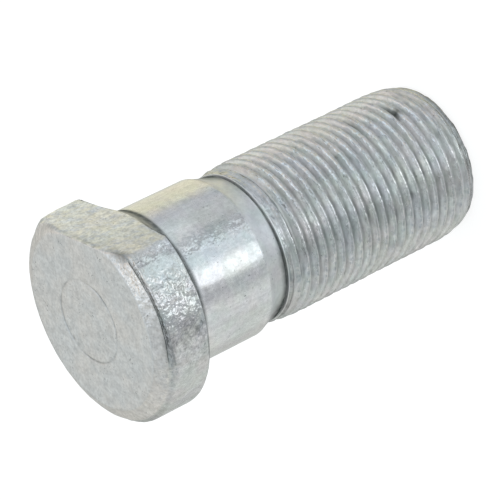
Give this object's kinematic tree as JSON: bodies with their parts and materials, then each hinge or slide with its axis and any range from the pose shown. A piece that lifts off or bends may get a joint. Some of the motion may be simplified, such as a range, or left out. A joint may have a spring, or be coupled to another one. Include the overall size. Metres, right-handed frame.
{
  "type": "wheel stud",
  "caption": "Press-in wheel stud with a clipped round head, a plain shank with a lead-in taper and a fine right-hand thread.",
  "frame": {"origin": "centre of the thread end's flat face, on which the stud stands", "axes": "+Z along the stud's axis from the thread end to the head, +X out of the flat on the head"},
  "size_m": [0.0268, 0.03, 0.0572],
  "materials": {
    "plated_steel": "bright zinc plating over forged and rolled steel, satin, with a hammered skin on the head's side"
  },
  "bodies": {
    "root": {"wheel_stud": "plated_steel"}
  },
  "joints": []
}
